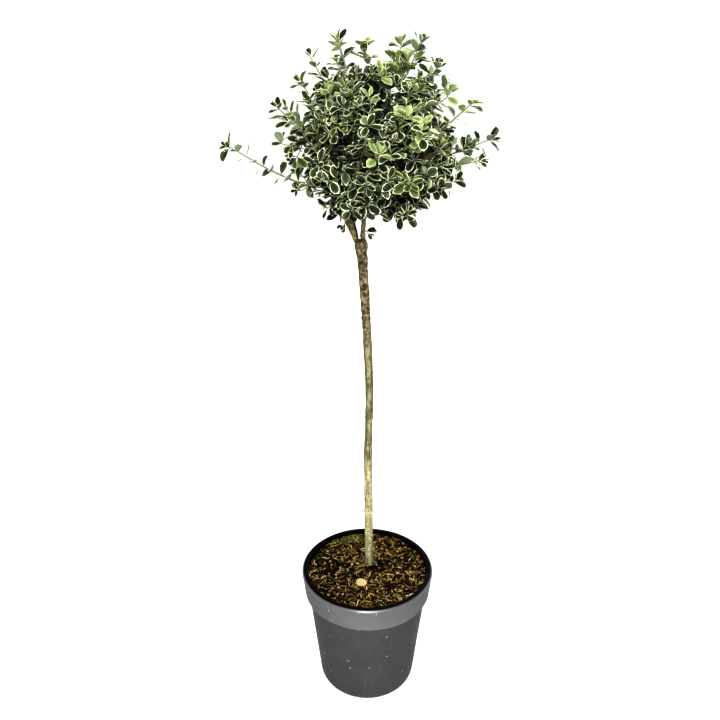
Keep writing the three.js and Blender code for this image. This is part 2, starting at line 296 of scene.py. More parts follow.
for share, colour in ((blotch, linear("#363636")), (collar_mask, collar_painted_light_colour),
                      (scuffed, linear("#6c6c6c")), (specks, linear("#c9c7c0"))):
    pot_colour = add(tree, "Mix", {"Factor": share, "A": pot_colour, "B": colour},
                     data_type="RGBA").outputs["Result"]
pot_gloss = add(tree, "MapRange", {"Value": blotch, "To Min": 0.45, "To Max": 0.65}).outputs["Result"]
grain = add(tree, "TexNoise", {"Vector": place, "Scale": per_mm(0.9), "Detail": 2.0}).outputs["Fac"]
pot_bump = add(tree, "Bump", {"Height": grain, "Strength": 0.12, "Distance": 0.1 * MM}).outputs["Normal"]
feed(tree, shader, {"Base Color": pot_colour, "Roughness": pot_gloss, "Normal": pot_bump})

# The lip's top and the inside are painted near black: painted shade, for the shade that falls there.
shaded_black_plastic, tree, shader = start_material("painted_shade_black_polypropylene", Roughness=0.5,
                                              Specular_IOR_Level=0.02)
place = add(tree, "TexCoord").outputs["Object"]
smear = add(tree, "TexNoise", {"Vector": place, "Scale": per_mm(14), "Detail": 5.0}).outputs["Fac"]
shaded_black_colour = add(tree, "Mix", {"Factor": smear, "A": linear("#020202"), "B": linear("#090909")},
                    data_type="RGBA").outputs["Result"]
feed(tree, shader, {"Base Color": shaded_black_colour})

# Stacking and handling have rubbed the outer curve of the lip pale and shiny.
rubbed_plastic = start_material("rubbed_polypropylene", Base_Color=linear("#424242"), Roughness=0.3,
                                IOR=1.49, Specular_IOR_Level=0.85)[0]

pot_piece = nursery_pot.make("nursery_pot", [pot_plastic, shaded_black_plastic, rubbed_plastic], sharp=35)
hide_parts("pot")

# ----------------------------------------
# Compost. Dark moist peat and composted bark, filling the pot to a finger's width under the rim: a
# crumbly bed with lumps of three sizes, banked up towards the back and sunk a little beside the wall.
soil_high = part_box("soil")[1]
SOIL_RADIUS = soil_high.x + 0.4 * MM
SOIL_LEVEL = soil_high.z - 0.4 * MM
SOIL_RINGS = 110
SOIL_SPOKES = 300
SOIL_DEPTH = 14 * MM
SKIRT_SHARE = 0.97
BANK_HEIGHT = 5.4
BANK_LENGTH = 70 * MM
SINK_DEPTH = 2.2
SINK_WIDTH = 9 * MM


def soil_height(x, y):
    """The height of the compost's surface at places in metres. Its relief adds up in millimetres."""
    flat = np.stack([x, y, np.zeros_like(x)], axis=1)
    relief = 1.6 * lumps(flat, 26, 11) + 0.9 * lumps(flat, 7, 12) + 0.7 * lumps(flat, 2.6, 13)
    relief += BANK_HEIGHT * np.clip(y / BANK_LENGTH, -0.2, 1)
    from_wall = (SOIL_RADIUS - np.hypot(x, y)) / SINK_WIDTH
    return SOIL_LEVEL + MM * (relief - SINK_DEPTH * np.exp(-from_wall ** 2))


rings = SOIL_RADIUS * np.linspace(1, 0.004, SOIL_RINGS)
spokes = np.linspace(0, math.tau, SOIL_SPOKES, endpoint=False)
soil_x = np.outer(rings, np.cos(spokes)).ravel()
soil_y = np.outer(rings, np.sin(spokes)).ravel()
soil_top = np.stack([soil_x, soil_y, soil_height(soil_x, soil_y)], axis=1)
skirt = np.stack([soil_x[:SOIL_SPOKES] * SKIRT_SHARE, soil_y[:SOIL_SPOKES] * SKIRT_SHARE,
                  np.full(SOIL_SPOKES, SOIL_LEVEL - SOIL_DEPTH)], axis=1)
soil_pile = Pile()
soil_pile.add(np.concatenate([skirt, soil_top]), lattice(SOIL_RINGS + 1, SOIL_SPOKES, closed=True),
              ring_caps(SOIL_RINGS + 1, SOIL_SPOKES))

# Moist peat: dark red-brown on the crumbs, quite rough, and near black in the relief's hollows, partly
# painted shade.
peat, tree, shader = start_material("moist_peat_and_bark_with_hollow_shade", Roughness=0.92, Specular_IOR_Level=0.03)
place = add(tree, "TexCoord").outputs["Object"]
crumb = add(tree, "TexNoise", {"Vector": place, "Scale": per_mm(2.2), "Detail": 6.0,
                               "Roughness": 0.75}).outputs["Fac"]
# The ramp follows the bump's noise, so the hollows are painted darker: painted shade on top of the peat's
# own dark brown.
peat_and_hollow_shade_stops = ((0.36, "#030201"), (0.68, "#1a110a"))
peat_and_hollow_shade_colour = add(tree, "ValToRGB", {"Fac": crumb}, stops=peat_and_hollow_shade_stops).outputs["Color"]
peat_bump = add(tree, "Bump", {"Height": crumb, "Strength": 0.9, "Distance": 1.0 * MM}).outputs["Normal"]
feed(tree, shader, {"Base Color": peat_and_hollow_shade_colour, "Normal": peat_bump})

soil_piece = soil_pile.make("compost", [peat], sharp=80)
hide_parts("soil")

# ----------------------------------------
# Coir, wood fibre and bark chips on the compost. Dry tan and straw-coloured shreds, curled and lying
# across each other, with dark flakes, a few pale grains, a tuft of moss and one sawn slip of pale wood.
# Lengths, girths and sizes of shreds and chips are in millimetres. Each colour has its share of them.
SOIL_CLEAR = 3.5 * MM
FIBRE_COUNT = 2900
FIBRE_LONGEST = 32
FIBRE_GIRTHS = (0.25, 0.72)
FIBRE_TAPER = np.array([0.45, 0.9, 1, 0.85, 0.35])
FIBRES = {
    "dry_straw_fibre": ("#b29c5b", 0.13),
    "tan_wood_fibre": ("#846b31", 0.19),
    "brown_coir_fibre": ("#3f2915", 0.27),
    "dark_bark_shred": ("#0c0704", 0.21),
    "olive_fibre": ("#564f1d", 0.15),
    "bleached_fibre": ("#cfc39c", 0.05),
}
CHIP_COUNT = 1500
CHIP_SIZES = ((0.8, 2.6), (0.5, 1.4), (0.25, 0.7))
CHIPS = {
    "dark_bark_chip": ("#0c0704", 0.46),
    "red_brown_bark_chip": ("#28180b", 0.32),
    "tan_wood_chip": ("#705630", 0.15),
    "pale_wood_chip": ("#a89062", 0.07),
}
GRAIN_COUNT = 60


def plain(name, code, roughness=0.7, **values):
    """A material of one even colour."""
    return start_material(name, Base_Color=linear(code), Roughness=roughness, **values)[0]


def tube(points, radii, sides, flat=1.0):
    """Rings of points round a line, with the faces between them and the two end caps."""
    points, radii = np.asarray(points, float), np.asarray(radii, float)
    ahead = np.gradient(points, axis=0)
    ahead /= norm(ahead, axis=1)[:, None]
    across = np.cross(ahead, np.eye(3)[np.argmin(abs(points[-1] - points[0]))])
    across /= norm(across, axis=1)[:, None]
    upward = np.cross(ahead, across)
    around = np.linspace(0, math.tau, sides, endpoint=False)
    wide = across[:, None] * np.cos(around)[None, :, None]
    tall = upward[:, None] * np.sin(around)[None, :, None] * flat
    rings = points[:, None] + (wide + tall) * radii.reshape(len(points), -1, 1)
    return rings.reshape(-1, 3), lattice(len(points), sides, closed=True), ring_caps(len(points), sides)


def shred_colours(colours):
    """Dry, hardly shiny materials for shreds of wood and bark, and the share of them that each takes."""
    materials = [plain(name, code, 0.8, Specular_IOR_Level=0.1) for name, (code, _) in colours.items()]
    return materials, [share for _, share in colours.values()]


def soil_place(clear):
    """A random place on the compost, that far in from the wall."""
    radius = (SOIL_RADIUS - clear) * math.sqrt(random.uniform(0, 1))
    heading = random.uniform(0, math.tau)
    return radius * math.cos(heading), radius * math.sin(heading)


def on_soil(x, y, lift):
    """The point over a place on the compost, that far above it."""
    return np.array([x, y, soil_height(np.array([x]), np.array([y]))[0] + lift])


random = np.random.default_rng(41)
fibre_colours, fibre_shares = shred_colours(FIBRES)
fibres = Pile()
steps = np.linspace(-0.5, 0.5, len(FIBRE_TAPER))
for _ in range(FIBRE_COUNT):
    start_x, start_y = soil_place(SOIL_CLEAR)
    bearing, bend = random.uniform(0, math.tau, 2)
    length = MM * min(random.gamma(2.6, 3.0) + 2.5, FIBRE_LONGEST)
    curl = random.normal(0, 0.9)
    clump = lumps([[start_x, start_y, 0]], 24, 15)[0]
    if clump < random.uniform(-0.9, 0.35):
        continue
    turn_along = bearing + curl * steps
    x = start_x + np.cumsum(np.cos(turn_along)) * length / len(steps)
    y = start_y + np.cumsum(np.sin(turn_along)) * length / len(steps)
    shrink = np.minimum(1, (SOIL_RADIUS - SOIL_CLEAR) / np.hypot(x, y))
    x, y = x * shrink, y * shrink
    rise = random.uniform(0.1, 1.0) + random.normal(0, 0.7) * steps * 2
    rise = MM * (rise + random.uniform(0, 0.9) * np.cos(bend + 3 * steps))
    line = np.stack([x, y, soil_height(x, y) + np.maximum(rise, -0.3 * MM)], axis=1)
    points, sides, caps = tube(line, MM * random.uniform(*FIBRE_GIRTHS) * FIBRE_TAPER, 4, flat=0.55)
    fibres.add(points, sides, caps, slot=random.choice(len(fibre_shares), p=fibre_shares))
fibre_piece = fibres.make("wood_fibres", fibre_colours, sharp=60)

CUBE = np.array([[x, y, z] for z in (-1, 1) for y in (-1, 1) for x in (-1, 1)], float)
CUBE_FACES = [[0, 2, 3, 1], [4, 5, 7, 6], [0, 1, 5, 4], [2, 6, 7, 3], [0, 4, 6, 2], [1, 3, 7, 5]]


def spun(points, tilt, heading):
    """Points tipped about X and then turned about Z."""
    c, s = math.cos(tilt), math.sin(tilt)
    points = points @ np.array([[1, 0, 0], [0, c, s], [0, -s, c]])
    c, s = math.cos(heading), math.sin(heading)
    return points @ np.array([[c, s, 0], [-s, c, 0], [0, 0, 1]])


chip_colours, chip_shares = shred_colours(CHIPS)
chips = Pile()
for _ in range(CHIP_COUNT):
    x, y = soil_place(SOIL_CLEAR)
    size = MM * np.array([random.uniform(*span) for span in CHIP_SIZES])
    shape = CUBE * size * (1 + random.uniform(-0.3, 0.3, CUBE.shape))
    chip = spun(shape, random.normal(0, 0.5), random.uniform(0, 6.3)) + on_soil(x, y, 0.3 * MM)
    chips.add(chip, CUBE_FACES, slot=random.choice(len(chip_shares), p=chip_shares))
chip_piece = chips.make("bark_chips", chip_colours, sharp=20)


def pebble(centre, halves, seed, rows=6, sides=8):
    """A closed rounded lump."""
    levels = np.linspace(0.12, math.pi - 0.12, rows)
    around = np.linspace(0, math.tau, sides, endpoint=False)
    points = np.stack([np.outer(np.sin(levels), np.cos(around)), np.outer(np.sin(levels), np.sin(around)),
                       np.repeat(np.cos(levels)[:, None], sides, axis=1)], axis=2).reshape(-1, 3)
    points = points * halves * (1 + 0.2 * np.random.default_rng(seed).uniform(-1, 1, (len(points), 1)))
    caps = [cap[::-1] for cap in ring_caps(rows, sides)]
    return points + centre, lattice(rows, sides, closed=True)[:, ::-1], caps


grains = Pile()
for index in range(GRAIN_COUNT):
    x, y = soil_place(2 * SOIL_CLEAR)
    halves = MM * random.uniform(0.5, 1.5) * np.array([1, random.uniform(0.6, 1), random.uniform(0.4, 0.7)])
    grains.add(*pebble(on_soil(x, y, 0.5 * MM), halves, index), slot=random.integers(0, 2))
# Perlite and grit: dull chalky specks that stand out from the dark peat.
grain_colours = [plain("perlite", "#9a9587"), plain("grey_grit", "#5a554a")]
grain_piece = grains.make("pale_grains", grain_colours, sharp=60)

# The sawn slip of wood: a thin round of pale pith with an uneven edge, tipped towards the front.
SLIP_PLACE = (-9 * MM, -24 * MM)
SLIP_HALVES = (8.2 * MM, 6.6 * MM, 0.9 * MM)
SLIP_SIDES = 28
SLIP_TIP = 0.2
SLIP_HEADING = -0.4
around = np.linspace(0, math.tau, SLIP_SIDES, endpoint=False)
edge = 1 + 0.05 * np.sin(3 * around + 1) + 0.03 * np.sin(7 * around)
slip_rings = [(0.92, -1), (1, -0.4), (1, 0.4), (0.93, 0.9), (0.5, 1.15), (0.02, 1.2)]
slip_points = []
for out, up in slip_rings:
    slip_points.append(np.stack([SLIP_HALVES[0] * out * edge * np.cos(around),
                                 SLIP_HALVES[1] * out * edge * np.sin(around),
                                 np.full(SLIP_SIDES, SLIP_HALVES[2] * up)], axis=1))
slip = Pile()
slip.add(spun(np.concatenate(slip_points), SLIP_TIP, SLIP_HEADING) + on_soil(*SLIP_PLACE, 2.2 * MM),
         lattice(len(slip_rings), SLIP_SIDES, closed=True), ring_caps(len(slip_rings), SLIP_SIDES))
pith, tree, shader = start_material("sawn_pale_wood", Roughness=0.6)
place = add(tree, "TexCoord").outputs["Object"]
pith_noise = add(tree, "TexNoise", {"Vector": place, "Scale": per_mm(3), "Detail": 4.0}).outputs["Fac"]
pith_colour = add(tree, "Mix", {"Factor": pith_noise, "A": linear("#9a8b55"), "B": linear("#beb07c")},
                  data_type="RGBA").outputs["Result"]
feed(tree, shader, {"Base Color": pith_colour})
slip_piece = slip.make("wood_slip", [pith], sharp=50)

# Moss: a low cushion of fine yellow-green shoots behind the trunk on the left.
MOSS_CENTRE = np.array([-31 * MM, 74 * MM])
MOSS_SPREAD = 11 * MM
MOSS_SHOOTS = 700
moss = Pile()
for _ in range(MOSS_SHOOTS):
    x, y = MOSS_CENTRE + random.normal(0, MOSS_SPREAD, 2) * [1.3, 0.7]
    if math.hypot(x, y) > SOIL_RADIUS - SOIL_CLEAR:
        continue
    tip = np.array([random.normal(0, 1.4), random.normal(0, 1.4), random.uniform(1.5, 4.2)]) * MM
    line = on_soil(x, y, -0.5 * MM) + np.outer([0, 0.5, 1], tip)
    points, sides, caps = tube(line, MM * np.array([0.5, 0.42, 0.12]), 4)
    moss.add(points, sides, caps, slot=random.integers(0, 2))
moss_colours = [plain("yellow_green_moss", "#6a6c27"), plain("brown_moss", "#4d4620")]
moss_piece = moss.make("moss_tuft", moss_colours, sharp=60)

# ----------------------------------------
# Trunk. One slim stem of spindle wood with thin bark: olive and grey below, brown and scaly above, with
# furrows along it and scars of old buds in pairs, up to a knobby graft head from which the boughs leave.
TRUNK_SIDES = 56
TRUNK_ROWS = 760
SCALY_FROM = 560 * MM
HEAD_FROM = 648 * MM
SCAR_SPACING = 37 * MM
SCAR_SIZE = 2.1 * MM
SPINE_SLICES = 90
SMOOTHED_ROWS = 45


def spine(name, axis, count):
    """Slices a limb's solid across a direction: the middle of each slice, and its radius."""
    mesh = nodes[name].data
    points = np.array([vertex.co for vertex in mesh.vertices])
    edges = np.array([edge.vertices for edge in mesh.edges])
    first, second = (points @ axis)[edges].T
    lowest, highest = min(first.min(), second.min()), max(first.max(), second.max())
    middles, radii = [], []
    for level in np.linspace(lowest, highest, count + 2)[1:-1]:
        crossing = (first - level) * (second - level) < 0
        share = ((level - first[crossing]) / (second[crossing] - first[crossing]))[:, None]
        hits = points[edges[crossing, 0]] * (1 - share) + points[edges[crossing, 1]] * share
        middles.append((hits.min(axis=0) + hits.max(axis=0)) / 2)
        radii.append(norm(hits - middles[-1], axis=1).mean())
    return np.array(middles), np.array(radii)


def distances(line):
    """How far along a line each of its points lies."""
    return np.concatenate([[0], np.cumsum(norm(np.diff(line, axis=0), axis=1))])


def points_at(places, along, line):
    """The points at those distances along a line."""
    return np.stack([np.interp(places, along, line[:, k]) for k in range(3)], axis=-1)


def resample(line, values, count):
    """A line and the values along it, at evenly spaced places."""
    along = distances(line)
    even = np.linspace(0, along[-1], count)
    return points_at(even, along, line), np.interp(even, along, values)


def furrows(points, seed):
    """Shallow grooves that run along an upright limb, in millimetres."""
    stretched = points * [1, 1, 0.07]
    return 0.34 * lumps(stretched, 1.5, seed) + 0.16 * lumps(points * [1, 1, 0.16], 0.8, seed + 1)


def scales(points, seed):
    """Rough bark plates and knobs, in millimetres."""
    plates = 0.8 * np.maximum(lumps(points * [1, 1, 0.5], 3.2, seed), -0.2)
    return plates + 0.5 * lumps(points, 1.4, seed + 1) + 0.5 * lumps(points, 7, seed + 2)


trunk_line, trunk_radii = spine("trunk", np.array([0, 0, 1.0]), SPINE_SLICES)
below = trunk_line[:1] - [0, 0, 7 * MM]
trunk_line = np.concatenate([below, trunk_line])
trunk_radii = np.concatenate([trunk_radii[:1], trunk_radii])
trunk_line, trunk_radii = resample(trunk_line, trunk_radii, TRUNK_ROWS)
kernel = np.hanning(SMOOTHED_ROWS) / np.hanning(SMOOTHED_ROWS).sum()
smoothed = slice(SMOOTHED_ROWS // 2, -(SMOOTHED_ROWS // 2))
for k in range(3):
    trunk_line[smoothed, k] = np.convolve(trunk_line[:, k], kernel, mode="valid")
trunk_radii[smoothed] = np.convolve(trunk_radii, kernel, mode="valid")
bark_points, bark_sides, bark_caps = tube(trunk_line, trunk_radii, TRUNK_SIDES)
core = np.repeat(trunk_line, TRUNK_SIDES, axis=0)
outward = bark_points - core
outward /= norm(outward, axis=1)[:, None]
heights = bark_points[:, 2]
scaly = np.clip((heights - SCALY_FROM) / (70 * MM), 0, 1)
knobby = np.clip((heights - HEAD_FROM) / (20 * MM), 0, 1)
lift = furrows(bark_points, 21) * (1 - 0.5 * scaly) + 0.5 * lumps(bark_points, 16, 24)
lift += 0.75 * scaly * scales(bark_points, 26) + 1.1 * knobby * lumps(bark_points, 5.5, 30)
random = np.random.default_rng(77)
scar_heights = np.arange(trunk_line[0, 2] + 26 * MM, HEAD_FROM, SCAR_SPACING)
for index, scar_height in enumerate(scar_heights + random.uniform(-6, 6, len(scar_heights)) * MM):
    row = np.argmin(abs(trunk_line[:, 2] - scar_height))
    swelling = np.exp(-((heights - scar_height) / (4 * MM)) ** 2)
    lift += 0.2 * swelling
    for side in (0, math.pi):
        angle = side + index * math.pi / 2 + random.uniform(-0.3, 0.3)
        bud = trunk_line[row] + trunk_radii[row] * np.array([math.cos(angle), math.sin(angle), 0])
        distance = norm((bark_points - bud) * [1, 1, 0.8], axis=1) / SCAR_SIZE
        rim = np.exp(-((distance - 1.5) / 0.35) ** 2)
        lift += random.uniform(0.2, 0.75) * np.exp(-distance ** 2) - 0.4 * rim
bark_points = bark_points + outward * (lift * MM)[:, None]
trunk_pile = Pile()
trunk_pile.add(bark_points, bark_sides, bark_caps)


def bark_material(name, zones):
    """Bark with streaks along it and mottling. Each zone has the height where it gives way to the next,
    how streaky it is from 0 to 1, and its colours from dark to pale."""
    material, tree, shader = start_material(name, Roughness=0.8, IOR=1.4, Specular_IOR_Level=0.25)
    place = add(tree, "TexCoord").outputs["Object"]
    height = add(tree, "SeparateXYZ", {"Vector": place}).outputs["Z"]
    along = add(tree, "Mapping", {"Vector": place, "Scale": (1, 1, 0.1)}).outputs["Vector"]
    streak = add(tree, "TexNoise", {"Vector": along, "Scale": per_mm(3.2), "Detail": 5.0,
                                    "Roughness": 0.65}).outputs["Fac"]
    patch = add(tree, "TexNoise", {"Vector": place, "Scale": per_mm(5), "Detail": 6.0,
                                   "Roughness": 0.72}).outputs["Fac"]
    wander = add(tree, "TexNoise", {"Vector": place, "Scale": per_mm(22), "Detail": 3.0}).outputs["Fac"]
    ragged = add(tree, "Math", {0: wander, 1: 90 * MM, 2: height}, operation="MULTIPLY_ADD").outputs[0]
    colour, last_top = None, None
    for top, streaky, codes in zones:
        pattern = add(tree, "Mix", {"Factor": streaky, "A": patch, "B": streak}).outputs["Result"]
        stops = zip((0.36, 0.5, 0.64), codes)
        zone = add(tree, "ValToRGB", {"Fac": pattern}, stops=stops).outputs["Color"]
        if colour is None:
            colour = zone
        else:
            share = add(tree, "MapRange", {"Value": ragged, "From Min": last_top + 15 * MM,
                                           "From Max": last_top + 75 * MM}).outputs["Result"]
            colour = add(tree, "Mix", {"Factor": share, "A": colour, "B": zone},
                         data_type="RGBA").outputs["Result"]
        last_top = top
    relief = add(tree, "Math", {0: streak, 1: patch}, operation="ADD").outputs[0]
    bump = add(tree, "Bump", {"Height": relief, "Strength": 0.6, "Distance": 0.5 * MM}).outputs["Normal"]
    feed(tree, shader, {"Base Color": colour, "Normal": bump})
    return material


# Smooth bark that is olive at the foot, paler and greyer higher up, then olive again and brown in the head.
TRUNK_ZONES = [
    (212 * MM, 0.3, ("#272518", "#5d5b40", "#8f8a6d")),
    (355 * MM, 0.45, ("#434230", "#7a7557", "#b0a98f")),
    (565 * MM, 0.6, ("#292819", "#57553a", "#918b6e")),
    (700 * MM, 0.1, ("#100d08", "#463e2c", "#877c5f")),
]
trunk_bark = bark_material("spindle_bark", TRUNK_ZONES)
trunk_piece = trunk_pile.make("trunk_bark", [trunk_bark], sharp=70)
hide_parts("trunk")

# ----------------------------------------
# Boughs. Five limbs of the grafted crown, as thick as a pencil or thinner, leaving the graft head at
# steep angles. Grey-brown bark with scales and node rings, each run on a little way into the leaves.
BOUGH_SIDES = 28
BOUGH_ROWS = 90
BOUGH_NAMES = ["bough_left", "bough_left_outer", "bough_right", "bough_back_left", "bough_back_right"]
head_centre = trunk_line[-12]


def unit(vector):
    """A vector, or rows of vectors, at length one."""
    vector = np.asarray(vector, float)
    return vector / norm(vector, axis=-1, keepdims=True)


bough_pile = Pile()
bough_ends, bough_lines = [], {}
for index, name in enumerate(BOUGH_NAMES):
    low, high = (np.array(corner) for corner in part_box(name))
    middle = (low + high) / 2
    line, radii = spine(name, unit(middle - head_centre), 24)
    heading = unit(line[-1] - line[-5])
    line = np.concatenate([[head_centre - [0, 0, 3 * MM]], line, [line[-1] + heading * 6 * MM]])
    radii = np.concatenate([radii[:1] * 0.9, radii, radii[-1:] * 0.8])
    line, radii = resample(line, radii, BOUGH_ROWS)
    points, faces, caps = tube(line, radii, BOUGH_SIDES)
    outward = unit(points - np.repeat(line, BOUGH_SIDES, axis=0))
    lift = 0.55 * scales(points, 50 + index) + 0.3 * lumps(points, 9, 60 + index)
    bough_pile.add(points + outward * (lift * MM)[:, None], faces, caps)
    bough_ends.append((line[-1], heading, radii[-1]))
    bough_lines[name] = line
bough_bark = bark_material("young_spindle_bark", [(800 * MM, 0.35, ("#18130c", "#5a4e36", "#9d8f6c"))])
bough_piece = bough_pile.make("boughs", [bough_bark], sharp=70)
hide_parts(*BOUGH_NAMES)

# ----------------------------------------
# Branches and twigs. Brown branches run on from the boughs through the crown, each to the middle of one
# spray's space from the nearest wood below it; twigs leave them for the outside, green near their tips.
MOST_TWIGS = 15
FEWEST_TWIGS = 10
HEART_TWIGS = 12
HEART_REACH = 16 * MM
LOWEST_TIP = 731 * MM
TRUNK_CLEAR = 55 * MM
# The share of a twig's length that bears no leaves.
TWIG_BARE = 0.3
SHOOT_BARE = 0.36
SIDE_TWIG_BARE = 0.25
SPUR_BARE = 0.97
THINNEST_TWIG = 0.5 * MM
TWIG_FOOT = (0.75 * MM, 1.7 * MM)
TWIG_SIDES = 6
TWIG_STEPS = 9
BRANCH_STEPS = 12
CROWN_CENTRE = np.array([6, 6, 806]) * MM
CROWN_LOW = 715 * MM
CROWN_HIGH = 890 * MM
LIGHT = np.array([-0.1, -0.1, 1])


def bezier(controls, count):
    """Points along the Bezier curve of some control points."""
    t = np.linspace(0, 1, count)[:, None]
    points = [np.asarray(control, float) for control in controls]
    while len(points) > 1:
        points = [first * (1 - t) + second * t for first, second in zip(points, points[1:])]
    return points[0]


def share_of_height(point):
    """How high a point lies in the crown, from 0 to 1."""
    return np.clip((point[2] - CROWN_LOW) / (CROWN_HIGH - CROWN_LOW), 0, 1)


masses = {}
for name in nodes:
    if name.startswith("mass_"):
        mesh = nodes[name].data
        points = [Vector(vertex.co) for vertex in mesh.vertices]
        tree = BVHTree.FromPolygons(points, [tuple(face.vertices) for face in mesh.polygons])
        masses[name] = (np.mean(points, axis=0), tree)

random = np.random.default_rng(2024)
wood = Pile()
sprigs = []
joints = list(bough_ends)
for name in sorted(masses, key=lambda name: norm(masses[name][0] - head_centre)):
    centre, tree = masses[name]
    costs = [norm(centre - place) + max(0, place[2] - centre[2]) for place, _, _ in joints]
    place, heading, girth = joints[int(np.argmin(costs))]
    reach = norm(centre - place)
    bend = place + heading * 0.4 * reach + random.normal(0, 2.5, 3) * MM
    line = bezier([place - heading * 2 * MM, bend, centre], BRANCH_STEPS)
    slim = max(girth * 0.72, 1.0 * MM)
    wood.add(*tube(line, np.linspace(girth * 0.85, slim, BRANCH_STEPS), 8), slot=0)
    joints.append((centre, unit(line[-1] - line[-3]), slim))
    grown = 0
    wanted = random.integers(FEWEST_TWIGS, MOST_TWIGS + 1) + HEART_TWIGS * (name == "mass_heart")
    for _ in range(200):
        if grown == wanted:
            break
        direction = unit(random.normal(0, 1, 3))
        hit = tree.ray_cast(Vector(centre), Vector(direction))[0]
        if hit is None:
            continue
        out = unit(np.array(hit) - CROWN_CENTRE)
        if direction @ out < 0.1 and random.uniform() > 0.3:
            continue
        tip = np.array(hit) - direction * random.uniform(1, 9) * MM
        if name == "mass_heart":
            tip += direction * random.uniform(0, HEART_REACH)
        near_trunk = max(0, 1 - np.hypot(tip[0], tip[1]) / TRUNK_CLEAR)
        tip[2] = max(tip[2], LOWEST_TIP + (random.uniform(-3, 8) + 16 * near_trunk) * MM)
        start = line[random.integers(BRANCH_STEPS // 2, BRANCH_STEPS)]
        high = share_of_height(tip)
        heading = (0.42 - 0.2 * high) * out + (0.8 + 0.4 * high) * unit(LIGHT)
        sprigs.append((name, start, tip, unit(heading + 0.33 * random.normal(0, 1, 3))))
        grown += 1

# The shoots outside the crown: one long twig along the middle of each, and a side twig or two from it.
SHOOT_END = 9 * MM
SHOOT_STEPS = 26
shoot_lines = []
centres = np.array([centre for centre, _ in masses.values()])
for name in sorted(name for name in nodes if name.startswith("shoot_")):
    points = np.array([vertex.co for vertex in nodes[name].data.vertices])
    tip = points[np.argmax(norm(points - CROWN_CENTRE, axis=1))]
    root = points[np.argsort(norm(points - CROWN_CENTRE, axis=1))[:6]].mean(axis=0)
    line, _ = spine(name, unit(tip - root), 7)
    line = np.concatenate([line, [tip - unit(tip - line[-1]) * SHOOT_END]])
    start = centres[np.argmin(norm(centres - line[0], axis=1))]
    bend = line[0] - unit(line[1] - line[0]) * 0.4 * norm(line[0] - start)
    line = np.concatenate([bezier([start, bend, line[0]], 8)[:-1], line])
    line, _ = resample(line, np.ones(len(line)), SHOOT_STEPS)
    line[1:-1] = (line[:-2] + 2 * line[1:-1] + line[2:]) / 4
    shoot_lines.append((name, line))

twig_lines = []
for name, start, tip, heading in sprigs:
    span = norm(tip - start)
    side = random.normal(0, 0.16 * span, 3)
    line = bezier([start, start + 0.4 * (tip - start) + side, tip - heading * 0.3 * span, tip], TWIG_STEPS)
    twig_lines.append((name, line, TWIG_BARE))
for name, line in shoot_lines:
    twig_lines.append((name, line, SHOOT_BARE))
    for _ in range(random.integers(1, 3)):
        step = random.integers(7, 19)
        ahead = unit(line[step + 1] - line[step])
        aside = unit(np.cross(ahead, random.normal(0, 1, 3)))
        heading = unit(0.8 * ahead + 0.7 * aside + 0.3 * unit(LIGHT))
        length = random.uniform(12, 27) * MM
        side_line = bezier([line[step], line[step] + aside * 0.3 * length, line[step] + heading * length], 6)
        twig_lines.append((name, side_line, SIDE_TWIG_BARE))

# A few short spurs stand on the boughs themselves, under the crown.
SPURS = {
    "bough_left": (66, (-7.2, -4.5, -4.5)),
    "bough_left_outer": (70, (-9, 2.7, 1.8)),
    "bough_right": (40, (5.4, -4.05, -1.35)),
}
for name, (row, reach) in SPURS.items():
    start = bough_lines[name][row]
    end = start + np.array(reach) * MM
    twig_lines.append(("mass_heart", bezier([start, start + [0, -3 * MM, 4 * MM], end], 6), SPUR_BARE))

for name, line, bare in twig_lines:
    length = norm(np.diff(line, axis=0), axis=1).sum()
    foot = np.clip(length * 0.022, *TWIG_FOOT)
    points, faces, caps = tube(line, np.linspace(foot, THINNEST_TWIG, len(line)), TWIG_SIDES)
    shade = np.where(np.linspace(0, 1, len(line) - 1) < bare + 0.15, 1, 2)
    wood.add(points, faces, slot=np.repeat(shade, TWIG_SIDES))
    wood.add(np.zeros((0, 3)), np.array(caps) - len(points), slot=[1, 2])
# Dull brown bark on the branches, tan where a twig starts and a smoother green skin towards its tip.
twig_colours = [plain("brown_branch_bark", "#40341f", 0.8), plain("tan_twig_bark", "#5f5a3c", 0.75),
                plain("green_twig", "#5f6a47", 0.55)]
twig_piece = wood.make("twigs", twig_colours, sharp=50)

# ----------------------------------------
# Leaves. Small blunt leathery blades in opposite pairs, each pair turned a quarter from the last, with a
# rosette at the tip. Dark green with cream edges. A twig's leaves share one of six sets of colours, but
# pairs deep and low in the crown mostly take the darkest, the inner set, which is painted shade.
LEAF_ROWS = np.array([0, 0.1, 0.21, 0.37, 0.55, 0.74, 0.9, 1])
LEAF_HALF_WIDTH = np.array([0.08, 0.11, 0.5, 0.83, 1, 0.93, 0.62, 0.15])
LEAF_COLUMNS = 7
LEAF_VARIANTS = 14
LEAF_THICKNESS = 0.022
LEAF_MARGIN = 0.84
PAIR_SPACING = 8.2 * MM
SHOOT_PAIR_SPACING = 11 * MM
LEAF_LENGTH = 17.5 * MM
SHOOT_LEAF_LENGTH = 18.5 * MM
PALETTES = {
    "deep": ("#10150b", "#192211", "#d6dab2", "#56614a"),
    "mature": ("#1b2512", "#2b381e", "#e6e9bf", "#66735a"),
    "olive": ("#2c371c", "#3f4c29", "#bbc289", "#76834f"),
    "grey": ("#2b3627", "#3d4a37", "#c6ccaa", "#7b8869"),
    # The inner set is painted shade: darker copies of the leaf colours, margins dimmed, for leaves in the
    # crown's shade.
    "inner": ("#0a0f08", "#10170c", "#6a7152", "#283020"),
    "young": ("#66774a", "#869865", "#c8d094", "#93a171"),
}


